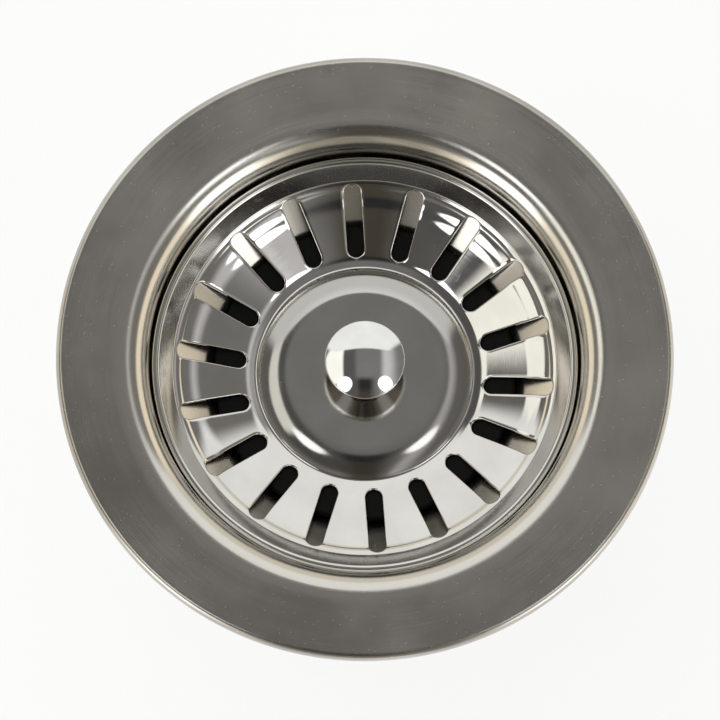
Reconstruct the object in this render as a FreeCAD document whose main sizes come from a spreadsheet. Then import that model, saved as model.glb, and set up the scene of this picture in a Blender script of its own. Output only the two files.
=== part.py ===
import FreeCAD, Part
import math
import os
import re
from Sketcher import Constraint as Sketch

# Basket strainer waste for a kitchen sink, in millimetres, +Z up.
# The origin lies on the axis, on the sink's deck, which is the underside of the flange gasket.
# Every piece is turned about the Z axis, so a profile corner is a radius, a height and perhaps a round.
SIZES = {
    # Flange and cup, one deep drawn sheet
    "flange_width": 17.0,
    "flange_lip": 2.0,
    "flange_edge_round": 1.2,
    "cup_sheet": 0.8,
    "cup_radius": 40.0,
    "mouth_round": 4.8,
    "cup_foot_round": 1.5,
    "cone_rise": 0.7,
    "throat_radius": 23.5,
    "throat_round": 1.5,
    "well_taper": 2.0,
    "well_round": 1.6,
    "window_count": 4,
    "window_from_bolt": 1.5,
    "window_from_wall": 3.2,
    "window_round": 1.8,
    "window_bow": 3.2,
    "window_bow_round": 5.5,
    "spoke_width": 5.0,
    # Gaskets above and below the sink wall
    "gasket_thickness": 2.0,
    "gasket_inset": 1.2,
    "gasket_edge_room": 1.0,
    "sink_wall": 2.5,
    "under_gasket_thickness": 4.0,
    "under_gasket_inset": 0.5,
    "under_gasket_spigot": 2.0,
    "spigot_play": 0.1,
    "gasket_play": 0.5,
    # Moulded outlet body
    "body_flange_width": 10.0,
    "body_flange_thickness": 3.5,
    "body_edge_round": 0.8,
    "body_wall": 2.8,
    "bowl_room": 2.7,
    "bowl_round": 7.0,
    "well_room": 0.2,
    "funnel_drop": 13.0,
    "funnel_round": 5.0,
    "tail_radius": 23.9,
    "tail_wall": 3.9,
    "tail_length": 27.0,
    "tail_edge_round": 0.9,
    "gusset_count": 8,
    "gusset_thickness": 2.2,
    "gusset_inset": 1.4,
    "gusset_toe": 0.8,
    "gusset_drop": 9.0,
    "hub_wall": 2.5,
    "hub_length": 13.0,
    "hub_above_tail": 1.2,
    "arm_count": 4,
    "arm_thickness": 3.5,
    "arm_depth": 8.5,
    "arm_below_hub_top": 3.5,
    "arm_turn": 45.0,
    "weld_depth": 1.2,
    # Screw and its insert
    "insert_wall": 1.5,
    "insert_flange": 2.0,
    "insert_flange_width": 1.7,
    "bolt_radius": 5.0,
    "bolt_past_hub": 1.2,
    "bolt_tip_round": 0.8,
    "bolt_head_radius": 8.5,
    "bolt_head_height": 2.8,
    "bolt_head_round": 0.8,
    "bolt_clearance": 0.2,
    "thread_clearance": 0.05,
    "driver_slot_width": 2.0,
    "driver_slot_depth": 1.2,
    # Strainer basket, one pressed sheet
    "basket_sheet": 0.6,
    "rim_clearance": 0.4,
    "rim_below_flange": 6.5,
    "rim_width": 1.3,
    "rim_turn": 0.9,
    "rim_round": 0.8,
    "wall_height": 3.3,
    "wall_spread": 2.7,
    "wall_foot_round": 0.6,
    "ledge_width": 1.1,
    "ledge_drop": 0.3,
    "ledge_round": 0.8,
    "riser_width": 0.4,
    "riser_drop": 0.55,
    "riser_round": 0.5,
    "shoulder_width": 3.2,
    "shoulder_drop": 0.75,
    "shoulder_round": 12.0,
    "cone_width": 8.8,
    "cone_drop": 3.4,
    "cone_foot_round": 6.0,
    "trough_width": 1.8,
    "trough_drop": 0.3,
    "trough_round": 0.8,
    "plateau_slope_width": 3.2,
    "plateau_rise": 1.9,
    "plateau_round": 11.0,
    "slot_count": 18,
    "slot_width": 3.1,
    "slot_start": 0.1,
    "slot_end_inset": 0.65,
    "slot_inner_round": 1.4,
    "slot_outer_round": 1.3,
    "slot_turn": 14.0,
    # Knob, turned and polished
    "knob_radius": 7.5,
    "knob_height": 10.9,
    "dome_height": 1.4,
    "dome_round": 20.0,
    "knob_edge_round": 0.35,
    "knob_band": 1.0,
    "knob_band_taper": 0.2,
    "knob_band_round": 0.6,
    "knob_neck_radius": 4.3,
    "knob_neck_height": 3.4,
    "knob_neck_round": 5.0,
    "knob_foot_flare": 0.4,
    # Rubber stopper, its retainer and the stem
    "seal_play": 0.1,
    "seal_boss_inset": 3.0,
    "seal_boss_slope": 1.5,
    "seal_thickness": 2.2,
    "seal_inset": 12.0,
    "seal_brim": 6.6,
    "seal_brim_rise": 1.8,
    "seal_edge_round": 0.5,
    "seal_lift": 0.1,
    "retainer_radius": 11.0,
    "retainer_thickness": 1.0,
    "retainer_round": 0.4,
    "stem_radius": 3.0,
    "stem_hole_play": 0.2,
    "stem_bore_play": 0.15,
    "stud_in_knob": 6.4,
    "stud_end_room": 0.4,
    "stem_shoulder": 1.4,
    "stem_shoulder_width": 2.5,
    "stem_length": 12.4,
    "stem_tip_round": 0.6,
    "head_room": 0.6,
    "bore_room": 2.0,
    "o_ring_section": 0.95,
    "o_ring_proud": 0.05,
    "o_ring_from_tip": 3.0,
    "groove_play": 0.25,
}

# Radii and heights that follow from the sizes, each written with names that stand before it.
PLACES = {
    "flange_radius": "cup_radius + flange_width",
    "flange_top": "gasket_thickness + cup_sheet",
    "flange_lip_end": "flange_top - flange_lip",
    "gasket_inner": "cup_radius + mouth_round + gasket_inset",
    "gasket_outer": "flange_radius - cup_sheet - gasket_edge_room",
    "rim": "flange_top - rim_below_flange",
    "rim_radius": "cup_radius - rim_clearance",
    "rim_inner": "rim_radius - rim_width",
    "wall_foot": "rim - wall_height",
    "wall_foot_radius": "rim_inner - wall_spread",
    "ledge": "wall_foot - ledge_drop",
    "ledge_radius": "wall_foot_radius - ledge_width",
    "riser": "ledge - riser_drop",
    "riser_radius": "ledge_radius - riser_width",
    "cone_top": "riser - shoulder_drop",
    "cone_top_radius": "riser_radius - shoulder_width",
    "cone_foot": "cone_top - cone_drop",
    "cone_foot_radius": "cone_top_radius - cone_width",
    "trough": "cone_foot - trough_drop",
    "trough_radius": "cone_foot_radius - trough_width",
    "plateau": "trough + plateau_rise",
    "plateau_radius": "trough_radius - plateau_slope_width",
    "slot_inner": "cone_foot_radius + slot_start",
    "slot_outer": "wall_foot_radius - slot_end_inset",
    "stem_hole": "stem_radius + stem_hole_play",
    "stem_top": "plateau + stud_in_knob",
    "knob_top": "plateau + knob_height",
    "knob_edge": "knob_top - dome_height",
    "seal_boss_top": "plateau - basket_sheet - seal_play",
    "seal_boss_radius": "plateau_radius - seal_boss_inset",
    "seal_top": "trough - basket_sheet - seal_play",
    "seal_under": "seal_top - seal_thickness",
    "seal_radius": "cup_radius - seal_inset",
    "seal_brim_radius": "seal_radius - seal_brim",
    "seal_edge_top": "seal_top + seal_brim_rise",
    "seal_edge_under": "seal_under + seal_brim_rise",
    "seat": "seal_edge_under - seal_lift",
    "cup_foot": "seat + seal_inset * cone_rise",
    "throat": "seat - (seal_radius - throat_radius) * cone_rise",
    "retainer_under": "seal_under - retainer_thickness",
    "shoulder_under": "retainer_under - stem_shoulder",
    "stem_tip": "shoulder_under - stem_length",
    "o_ring_outer": "stem_radius + o_ring_proud",
    "o_ring_height": "stem_tip + o_ring_from_tip",
    "groove_radius": "o_ring_outer - o_ring_section",
    "groove_half": "o_ring_section / 2 + groove_play",
    "head_top": "shoulder_under - head_room",
    "bore_floor": "stem_tip - bore_room",
    "bolt_bore": "stem_radius + stem_bore_play",
    "bolt_hole": "bolt_radius + bolt_clearance",
    "well_floor": "head_top - bolt_head_height",
    "well_radius": "throat_radius - well_taper",
    "window_inner": "bolt_head_radius + window_from_bolt",
    "window_outer": "well_radius - window_from_wall",
    "spoke_offset": "spoke_width / sqrt(2)",
    "window_side": "window_outer - window_bow",
    "under_gasket_top": "-sink_wall",
    "body_top": "under_gasket_top - under_gasket_thickness",
    "body_flange_under": "body_top - body_flange_thickness",
    "cup_outside": "cup_radius + cup_sheet",
    "bowl_radius": "cup_outside + bowl_room",
    "bowl_outside": "bowl_radius + body_wall",
    "body_radius": "bowl_radius + body_flange_width",
    "under_gasket_radius": "body_radius - under_gasket_inset",
    "bowl_foot": "well_floor - cup_sheet - well_room",
    "tail_top": "bowl_foot - funnel_drop",
    "tail_end": "tail_top - tail_length",
    "tail_bore": "tail_radius - tail_wall",
    "hub_top": "tail_top + hub_above_tail",
    "hub_end": "hub_top - hub_length",
    "insert_radius": "bolt_radius + insert_wall",
    "insert_bore": "bolt_radius + thread_clearance",
    "insert_flange_radius": "insert_radius + insert_flange_width",
    "insert_end": "hub_end - insert_flange",
    "hub_radius": "insert_radius + hub_wall",
    "arm_top": "hub_top - arm_below_hub_top",
    "bolt_tip": "hub_end - bolt_past_hub",
    "gusset_radius": "body_radius - gusset_inset",
}

SHEET_NAME = "Sizes"
FUNCTIONS = {"sqrt"}
FULL_TURN = 360

doc = FreeCAD.newDocument("basket_strainer_waste")
sheet = doc.addObject("Spreadsheet::Sheet", SHEET_NAME)


def fill_sheet():
    row = 0
    for name, size in SIZES.items():
        row += 1
        sheet.set(f"A{row}", name)
        sheet.set(f"B{row}", str(size))
        sheet.setAlias(f"B{row}", name)
    for name, formula in PLACES.items():
        row += 1
        sheet.set(f"A{row}", name)
        sheet.set(f"B{row}", f"={formula}")
        sheet.setAlias(f"B{row}", name)
    doc.recompute()


def bound(formula):
    """The formula with each size named as a cell of the sheet."""
    def cell(match):
        word = match.group(0)
        return word if word in FUNCTIONS else f"{SHEET_NAME}.{word}"
    return re.sub(r"[a-z_]+", cell, formula)


def value(formula):
    return float(sheet.evalExpression(bound(formula)))


def bind(target, prop, formula):
    target.setExpression(prop, bound(formula))


def constrain(sketch, formula, kind, *where):
    index = sketch.addConstraint(Sketch(kind, *where, value(formula)))
    bind(sketch, f"Constraints[{index}]", formula)


def fix_point(sketch, geometry, position, corner):
    """Ties a point to its two formulas; a plain "0" puts it on the axis."""
    for kind, axis, formula in (("DistanceX", -2, corner[0]), ("DistanceY", -1, corner[1])):
        if formula == "0":
            sketch.addConstraint(Sketch("PointOnObject", geometry, position, axis))
        else:
            constrain(sketch, formula, kind, geometry, position)


def round_corner(before, corner, after, radius):
    """Tangent points and arc of a rounded corner, with the arc's end that meets the line before it."""
    to_before = (before - corner).normalize()
    to_after = (after - corner).normalize()
    half = to_before.getAngle(to_after) / 2
    setback = radius / math.tan(half)
    arrive = corner + to_before * setback
    leave = corner + to_after * setback
    centre = corner + (to_before + to_after).normalize() * (radius / math.sin(half))
    turns_left = to_after.cross(to_before).z > 0
    first, last = (arrive, leave) if turns_left else (leave, arrive)
    start = math.atan2(first.y - centre.y, first.x - centre.x)
    end = math.atan2(last.y - centre.y, last.x - centre.x)
    if end < start:
        end += 2 * math.pi
    circle = Part.Circle(centre, FreeCAD.Vector(0, 0, 1), radius)
    return arrive, leave, Part.ArcOfCircle(circle, start, end), 1 if turns_left else 2


def draw_profile(sketch, corners, closed=True):
    """Straight lines through the corners, with a tangent arc where a corner has a round."""
    count = len(corners)
    points = [FreeCAD.Vector(value(corner[0]), value(corner[1]), 0) for corner in corners]
    arrive = list(points)
    leave = list(points)
    arcs = {}
    for i, corner in enumerate(corners):
        if len(corner) == 3:
            after = points[(i + 1) % count]
            arrive[i], leave[i], arc, meets = round_corner(points[i - 1], points[i], after, value(corner[2]))
            arcs[i] = (sketch.addGeometry(arc), meets)
    line_count = count if closed else count - 1
    lines = []
    for i in range(line_count):
        lines.append(sketch.addGeometry(Part.LineSegment(leave[i], arrive[(i + 1) % count])))
    for i, corner in enumerate(corners):
        starts = i < line_count
        here = lines[i] if starts else lines[-1]
        ends = closed or i > 0
        if i in arcs:
            arc, meets = arcs[i]
            point = sketch.addGeometry(Part.Point(points[i]), True)
            sketch.addConstraint(Sketch("PointOnObject", point, 1, lines[i - 1]))
            sketch.addConstraint(Sketch("PointOnObject", point, 1, here))
            sketch.addConstraint(Sketch("Tangent", lines[i - 1], 2, arc, meets))
            sketch.addConstraint(Sketch("Tangent", here, 1, arc, 3 - meets))
            fix_point(sketch, point, 1, corner)
            constrain(sketch, corner[2], "Radius", arc)
        else:
            if starts and ends:
                sketch.addConstraint(Sketch("Coincident", lines[i - 1], 2, here, 1))
            fix_point(sketch, here, 1 if starts else 2, corner)


def new_body(label):
    body = doc.addObject("PartDesign::Body", label)
    body.Label = label
    return body


def origin_feature(body, role):
    return next(feature for feature in body.Origin.OriginFeatures if feature.Role == role)


def new_sketch(body, name, role, turn_axis=None, turn=None, height=None):
    """A sketch on one of the body's own planes, turned about an axis or raised where asked."""
    sketch = body.newObject("Sketcher::SketchObject", name)
    sketch.AttachmentSupport = (origin_feature(body, role), "")
    sketch.MapMode = "FlatFace"
    if turn:
        turning = FreeCAD.Rotation(turn_axis, value(turn))
        sketch.AttachmentOffset = FreeCAD.Placement(FreeCAD.Vector(), turning)
        bind(sketch, "AttachmentOffset.Rotation.Angle", turn)
    if height:
        bind(sketch, "AttachmentOffset.Base.z", height)
    return sketch


def turned(body, name, corners):
    """Adds a solid of revolution of the closed profile to the body."""
    sketch = new_sketch(body, f"{name}_profile", "XZ_Plane")
    draw_profile(sketch, corners)
    turning = body.newObject("PartDesign::Revolution", name)
    turning.Profile = sketch
    turning.ReferenceAxis = (sketch, ["V_Axis"])
    turning.Angle = FULL_TURN
    return turning


def pressed_sheet(label, corners, thickness):
    """A body that starts from a turned sheet: its upper face follows the corners, from the rim inwards."""
    sketch = doc.addObject("Sketcher::SketchObject", f"{label}_line")
    sketch.Placement = FreeCAD.Placement(FreeCAD.Vector(), FreeCAD.Rotation(FreeCAD.Vector(1, 0, 0), 90))
    draw_profile(sketch, corners, closed=False)
    section = doc.addObject("Part::Offset2D", f"{label}_section")
    section.Source = sketch
    section.Mode = "Skin"
    section.Fill = True
    bind(section, "Value", thickness)
    turning = doc.addObject("Part::Revolution", f"{label}_sheet")
    turning.Source = section
    turning.Axis = FreeCAD.Vector(0, 0, 1)
    turning.Angle = FULL_TURN
    turning.Solid = True
    doc.recompute()
    body = new_body(label)
    body.BaseFeature = turning
    return body


def pattern(body, feature, count):
    """Repeats a feature about the axis and makes the pattern the body's tip."""
    repeat = body.newObject("PartDesign::PolarPattern", f"{feature.Name}_pattern")
    repeat.Originals = [feature]
    repeat.Axis = (origin_feature(body, "Z_Axis"), [""])
    repeat.Angle = FULL_TURN
    bind(repeat, "Occurrences", count)
    body.Tip = repeat
    return repeat


def cut_through(body, sketch, name):
    """Cuts the sketch straight down through everything below it."""
    pocket = body.newObject("PartDesign::Pocket", name)
    pocket.Profile = sketch
    pocket.Type = "ThroughAll"
    return pocket


def rib(body, sketch, name, thickness):
    """Adds a plate of the sketch's outline, centred on its plane."""
    pad = body.newObject("PartDesign::Pad", name)
    pad.Profile = sketch
    pad.Midplane = True
    bind(pad, "Length", thickness)
    return pad


def ring(label, inner, outer, bottom, top, edge):
    """A flat turned ring with its outer edges rounded."""
    body = new_body(label)
    turned(body, f"{label}_ring", [
        (inner, bottom),
        (outer, bottom, edge),
        (outer, top, edge),
        (inner, top),
    ])
    return body


def flange_cup():
    body = pressed_sheet("flange_cup", [
        ("flange_radius", "flange_lip_end"),
        ("flange_radius", "flange_top", "flange_edge_round"),
        ("cup_radius", "flange_top", "mouth_round"),
        ("cup_radius", "cup_foot", "cup_foot_round"),
        ("throat_radius", "throat", "throat_round"),
        ("well_radius", "well_floor", "well_round"),
        ("bolt_hole", "well_floor"),
    ], "cup_sheet")
    sketch = new_sketch(body, "window_outline", "XY_Plane", height="throat")
    draw_profile(sketch, [
        ("window_inner", "spoke_offset - window_inner", "window_round"),
        ("window_side", "spoke_offset - window_side", "window_round"),
        ("window_outer", "spoke_offset - window_side + window_bow", "window_bow_round"),
        ("window_outer", "window_side - window_bow - spoke_offset", "window_bow_round"),
        ("window_side", "window_side - spoke_offset", "window_round"),
        ("window_inner", "window_inner - spoke_offset", "window_round"),
    ])
    pattern(body, cut_through(body, sketch, "window"), "window_count")
    return body


def under_sink_gasket():
    body = new_body("under_sink_gasket")
    turned(body, "under_gasket_ring", [
        ("cup_outside + gasket_play", "body_top - under_gasket_spigot"),
        ("bowl_radius - spigot_play", "body_top - under_gasket_spigot"),
        ("bowl_radius - spigot_play", "body_top"),
        ("under_gasket_radius", "body_top", "body_edge_round"),
        ("under_gasket_radius", "under_gasket_top", "body_edge_round"),
        ("cup_outside + gasket_play", "under_gasket_top"),
    ])
    return body


def outlet_body():
    body = new_body("outlet_body")
    turned(body, "bowl_and_tail", [
        ("bowl_radius", "body_top"),
        ("body_radius", "body_top", "body_edge_round"),
        ("body_radius", "body_flange_under", "body_edge_round"),
        ("bowl_outside", "body_flange_under", "body_edge_round"),
        ("bowl_outside", "bowl_foot - body_wall", "bowl_round + body_wall"),
        ("tail_radius", "tail_top - body_wall", "funnel_round"),
        ("tail_radius", "tail_end", "tail_edge_round"),
        ("tail_bore", "tail_end", "tail_edge_round"),
        ("tail_bore", "tail_top", "funnel_round"),
        ("bowl_radius", "bowl_foot", "bowl_round"),
    ])
    sketch = new_sketch(body, "gusset_outline", "XZ_Plane")
    draw_profile(sketch, [
        ("bowl_outside - weld_depth", "body_flange_under + weld_depth"),
        ("gusset_radius", "body_flange_under + weld_depth"),
        ("gusset_radius", "body_flange_under - gusset_toe"),
        ("bowl_outside - weld_depth", "body_flange_under - gusset_drop"),
    ])
    pattern(body, rib(body, sketch, "gusset", "gusset_thickness"), "gusset_count")
    sketch = new_sketch(body, "arm_outline", "XZ_Plane", FreeCAD.Vector(0, 1, 0), "arm_turn")
    draw_profile(sketch, [
        ("hub_radius - weld_depth", "arm_top"),
        ("tail_bore + weld_depth", "arm_top"),
        ("tail_bore + weld_depth", "arm_top - arm_depth"),
        ("hub_radius - weld_depth", "arm_top - arm_depth"),
    ])
    pattern(body, rib(body, sketch, "arm", "arm_thickness"), "arm_count")
    body.Tip = turned(body, "hub", [
        ("insert_radius", "hub_end"),
        ("hub_radius", "hub_end"),
        ("hub_radius", "hub_top", "body_edge_round"),
        ("insert_radius", "hub_top"),
    ])
    return body


def brass_insert():
    body = new_body("brass_insert")
    turned(body, "insert_bush", [
        ("insert_bore", "insert_end"),
        ("insert_flange_radius", "insert_end"),
        ("insert_flange_radius", "hub_end"),
        ("insert_radius", "hub_end"),
        ("insert_radius", "hub_top"),
        ("insert_bore", "hub_top"),
    ])
    return body


def centre_bolt():
    body = new_body("centre_bolt")
    turned(body, "bolt_blank", [
        ("0", "bolt_tip"),
        ("bolt_radius", "bolt_tip", "bolt_tip_round"),
        ("bolt_radius", "well_floor"),
        ("bolt_head_radius", "well_floor"),
        ("bolt_head_radius", "head_top", "bolt_head_round"),
        ("bolt_bore", "head_top"),
        ("bolt_bore", "bore_floor"),
        ("0", "bore_floor"),
    ])
    sketch = new_sketch(body, "driver_slot_outline", "XY_Plane", height="head_top")
    draw_profile(sketch, [
        ("-bolt_head_radius", "-driver_slot_width / 2"),
        ("bolt_head_radius", "-driver_slot_width / 2"),
        ("bolt_head_radius", "driver_slot_width / 2"),
        ("-bolt_head_radius", "driver_slot_width / 2"),
    ])
    slot = body.newObject("PartDesign::Pocket", "driver_slot")
    slot.Profile = sketch
    bind(slot, "Length", "driver_slot_depth")
    body.Tip = slot
    return body


def strainer_basket():
    body = pressed_sheet("strainer_basket", [
        ("rim_radius", "rim - rim_turn"),
        ("rim_radius", "rim", "rim_round"),
        ("rim_inner", "rim", "rim_round"),
        ("wall_foot_radius", "wall_foot", "wall_foot_round"),
        ("ledge_radius", "ledge", "ledge_round"),
        ("riser_radius", "riser", "riser_round"),
        ("cone_top_radius", "cone_top", "shoulder_round"),
        ("cone_foot_radius", "cone_foot", "cone_foot_round"),
        ("trough_radius", "trough", "trough_round"),
        ("plateau_radius", "plateau", "plateau_round"),
        ("stem_hole", "plateau"),
    ], "basket_sheet")
    sketch = new_sketch(body, "slot_outline", "XY_Plane", FreeCAD.Vector(0, 0, 1), "slot_turn", "rim")
    draw_profile(sketch, [
        ("slot_inner", "-slot_width / 2", "slot_inner_round"),
        ("slot_outer", "-slot_width / 2", "slot_outer_round"),
        ("slot_outer", "slot_width / 2", "slot_outer_round"),
        ("slot_inner", "slot_width / 2", "slot_inner_round"),
    ])
    pattern(body, cut_through(body, sketch, "slot"), "slot_count")
    return body


def knob():
    body = new_body("knob")
    turned(body, "knob_form", [
        ("stem_radius", "plateau"),
        ("knob_neck_radius + knob_foot_flare", "plateau"),
        ("knob_neck_radius", "plateau + knob_neck_height", "knob_neck_round"),
        ("knob_radius - knob_band_taper", "knob_edge - knob_band", "knob_band_round"),
        ("knob_radius", "knob_edge", "knob_edge_round"),
        ("knob_radius / 2", "knob_top", "dome_round"),
        ("0", "knob_top"),
        ("0", "stem_top + stud_end_room"),
        ("stem_radius", "stem_top + stud_end_room"),
    ])
    return body


def stopper_seal():
    body = new_body("stopper_seal")
    turned(body, "seal_disc", [
        ("stem_hole", "seal_under"),
        ("seal_brim_radius", "seal_under"),
        ("seal_radius", "seal_edge_under", "seal_edge_round"),
        ("seal_radius", "seal_edge_top", "seal_edge_round"),
        ("seal_brim_radius", "seal_top"),
        ("seal_boss_radius + seal_boss_slope", "seal_top"),
        ("seal_boss_radius", "seal_boss_top"),
        ("stem_hole", "seal_boss_top"),
    ])
    return body


def stem():
    body = new_body("stem")
    turned(body, "stem_form", [
        ("0", "stem_tip"),
        ("stem_radius", "stem_tip", "stem_tip_round"),
        ("stem_radius", "o_ring_height - groove_half"),
        ("groove_radius", "o_ring_height - groove_half"),
        ("groove_radius", "o_ring_height + groove_half"),
        ("stem_radius", "o_ring_height + groove_half"),
        ("stem_radius", "shoulder_under"),
        ("stem_radius + stem_shoulder_width", "shoulder_under"),
        ("stem_radius + stem_shoulder_width", "retainer_under"),
        ("stem_radius", "retainer_under"),
        ("stem_radius", "stem_top", "stem_tip_round"),
        ("0", "stem_top"),
    ])
    return body


def stem_o_ring():
    torus = doc.addObject("Part::Torus", "stem_o_ring")
    torus.Label = "stem_o_ring"
    bind(torus, "Radius1", "o_ring_outer - o_ring_section / 2")
    bind(torus, "Radius2", "o_ring_section / 2")
    bind(torus, "Placement.Base.z", "o_ring_height")
    return torus


def check_objects():
    for item in doc.Objects:
        if "Invalid" in item.State or "Error" in item.State:
            raise RuntimeError(f"{item.Label} did not build: {item.State}")


def write(parts):
    for piece in parts:
        if piece.Shape.isNull() or not piece.Shape.isValid() or len(piece.Shape.Solids) != 1:
            raise RuntimeError(f"{piece.Label} is not one sound solid")
    os.makedirs("parts", exist_ok=True)
    for piece in parts:
        piece.Shape.exportStep(f"parts/{piece.Label}.step")
        print(piece.Label, round(piece.Shape.Volume, 1), piece.Shape.BoundBox)


fill_sheet()
pieces = [
    flange_cup(),
    ring("flange_gasket", "gasket_inner", "gasket_outer", "0", "gasket_thickness", "body_edge_round"),
    under_sink_gasket(),
    outlet_body(),
    brass_insert(),
    centre_bolt(),
    strainer_basket(),
    knob(),
    stopper_seal(),
    ring("seal_retainer", "stem_hole", "retainer_radius", "retainer_under", "seal_under", "retainer_round"),
    stem(),
    stem_o_ring(),
]
doc.recompute()
check_objects()
write(pieces)
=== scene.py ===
import math

import bmesh
import bpy
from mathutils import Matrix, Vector


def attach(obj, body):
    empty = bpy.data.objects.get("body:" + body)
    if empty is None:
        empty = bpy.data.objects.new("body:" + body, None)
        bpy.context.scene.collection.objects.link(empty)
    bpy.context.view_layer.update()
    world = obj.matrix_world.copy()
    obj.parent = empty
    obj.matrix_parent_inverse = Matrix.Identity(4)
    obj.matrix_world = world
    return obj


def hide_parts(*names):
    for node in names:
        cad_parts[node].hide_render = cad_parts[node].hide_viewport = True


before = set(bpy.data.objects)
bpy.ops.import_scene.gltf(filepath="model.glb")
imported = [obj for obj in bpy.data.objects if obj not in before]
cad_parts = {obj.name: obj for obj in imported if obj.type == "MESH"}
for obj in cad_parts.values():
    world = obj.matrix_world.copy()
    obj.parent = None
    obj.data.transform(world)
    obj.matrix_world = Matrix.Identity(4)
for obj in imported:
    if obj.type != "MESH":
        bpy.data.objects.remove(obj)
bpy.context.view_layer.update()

# The looks of a basket strainer waste. Sizes are millimetres, as in the part's source. A corner of a
# profile is a radius, a height and perhaps a round, and turned pieces have the Z axis.
MM = 0.001
SAME = 1e-6

# How finely the meshes are stepped. Guard points close to a corner keep the flats beside it plain.
ARC_STEP = math.radians(5)
GUARD = 0.12
GUARD_MOST = 0.3
HALVINGS = 40
MERGE = 0.002
SMOOTH_ANGLE = math.radians(33)
TURNED_SECTORS = 192
RING_STEPS = 20
CUP_COLUMNS = 24
HUB_STEPS = 8
SPOKE_STEPS = 6
SLOT_COLUMNS = 8
SLOT_END_COLUMNS = 3
TIP_STEPS = 9
CORNER_STEPS = 4
DIE_ROLL_STEPS = 4
ROW_CLEARANCE = 0.05
BEVEL_SEGMENTS = 2

# Flange, cup and well
FLANGE_RADIUS = 57.0
FLANGE_TOP = 2.8
FLANGE_LIP = 2.0
CUP_SHEET = 0.8
CUP_RADIUS = 40.0
CONE_RISE = 0.7
SEAL_RADIUS = 28.0
SEAT = -13.5
CUP_FOOT = SEAT + (CUP_RADIUS - SEAL_RADIUS) * CONE_RISE
THROAT_RADIUS = 23.5
THROAT = SEAT - (SEAL_RADIUS - THROAT_RADIUS) * CONE_RISE
WELL_RADIUS = 21.5
WELL_FLOOR = -21.0
WELL_FLAT_RADIUS = 20.2
BOLT_HOLE = 5.2
WINDOW_COUNT = 4
WINDOW_INNER = 10.0
WINDOW_OUTER = 18.3
WINDOW_BOW = 3.2
WINDOW_SIDE = WINDOW_OUTER - WINDOW_BOW
SPOKE_OFFSET = 5.0 / math.sqrt(2)

CUP_LINE = [
    (FLANGE_RADIUS, FLANGE_TOP - FLANGE_LIP),
    (FLANGE_RADIUS, FLANGE_TOP, 1.2),
    (CUP_RADIUS, FLANGE_TOP, 4.8),
    (CUP_RADIUS, CUP_FOOT, 1.5),
    (THROAT_RADIUS, THROAT, 1.5),
    (WELL_RADIUS, WELL_FLOOR, 1.6),
    (WELL_FLAT_RADIUS, WELL_FLOOR),
]
WINDOW_HALF = [
    (WINDOW_INNER, 0.0),
    (WINDOW_INNER, WINDOW_INNER - SPOKE_OFFSET, 1.8),
    (WINDOW_SIDE, WINDOW_SIDE - SPOKE_OFFSET, 1.8),
    (WINDOW_OUTER, WINDOW_SIDE - SPOKE_OFFSET - WINDOW_BOW, 5.5),
    (WINDOW_OUTER, 0.0),
]

# Strainer basket, from its rim to its raised centre
BASKET_SHEET = 0.6
RIM_RADIUS = 39.6
RIM_INNER = RIM_RADIUS - 1.3
RIM_TOP = -3.7
RIM_END = RIM_TOP - 0.9
WALL_FOOT_RADIUS = RIM_INNER - 2.7
WALL_FOOT = -7.0
LEDGE_RADIUS = WALL_FOOT_RADIUS - 1.1
LEDGE = -7.3
RISER_RADIUS = LEDGE_RADIUS - 0.4
RISER_FOOT = -7.85
CONE_TOP_RADIUS = RISER_RADIUS - 3.2
CONE_TOP = -8.6
CONE_FOOT_RADIUS = CONE_TOP_RADIUS - 8.8
CONE_FOOT = -12.0
TROUGH_RADIUS = CONE_FOOT_RADIUS - 1.8
TROUGH = -12.3
PLATEAU_RADIUS = TROUGH_RADIUS - 3.2
PLATEAU = -10.4
STEM_HOLE = 3.2
BASKET_LINE = [
    (RIM_RADIUS, RIM_END),
    (RIM_RADIUS, RIM_TOP, 0.8),
    (RIM_INNER, RIM_TOP, 0.8),
    (WALL_FOOT_RADIUS, WALL_FOOT, 0.6),
    (LEDGE_RADIUS, LEDGE, 0.8),
    (RISER_RADIUS, RISER_FOOT, 0.5),
    (CONE_TOP_RADIUS, CONE_TOP, 12.0),
    (CONE_FOOT_RADIUS, CONE_FOOT, 6.0),
    (TROUGH_RADIUS, TROUGH, 0.8),
    (PLATEAU_RADIUS, PLATEAU, 11.0),
    (STEM_HOLE, PLATEAU),
]
SLOT_COUNT = 18
SLOT_TURN = math.radians(14)
SLOT_HALF = 1.55
SLOT_INNER = CONE_FOOT_RADIUS + 0.1
SLOT_OUTER = WALL_FOOT_RADIUS - 0.65
SLOT_OUTER_ROUND = 1.3
DIE_ROLL = 0.28

# Knob
KNOB_RADIUS = 7.5
KNOB_TOP = 0.5
KNOB_EDGE = -0.9
KNOB_UNDER = KNOB_EDGE - 1.0
KNOB_UNDER_RADIUS = KNOB_RADIUS - 0.2
NECK_FOOT_RADIUS = 4.7
NECK_RADIUS = 4.3
NECK_TOP = PLATEAU + 3.4
KNOB_HOLE_END = -3.6
STEM_RADIUS = 3.0
KNOB = [
    (STEM_RADIUS, PLATEAU),
    (NECK_FOOT_RADIUS, PLATEAU),
    (NECK_RADIUS, NECK_TOP, 5.0),
    (KNOB_UNDER_RADIUS, KNOB_UNDER, 0.6),
    (KNOB_RADIUS, KNOB_EDGE, 0.35),
    (KNOB_RADIUS / 2, KNOB_TOP, 20.0),
    (0.0, KNOB_TOP),
    (0.0, KNOB_HOLE_END),
    (STEM_RADIUS, KNOB_HOLE_END),
]

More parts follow.
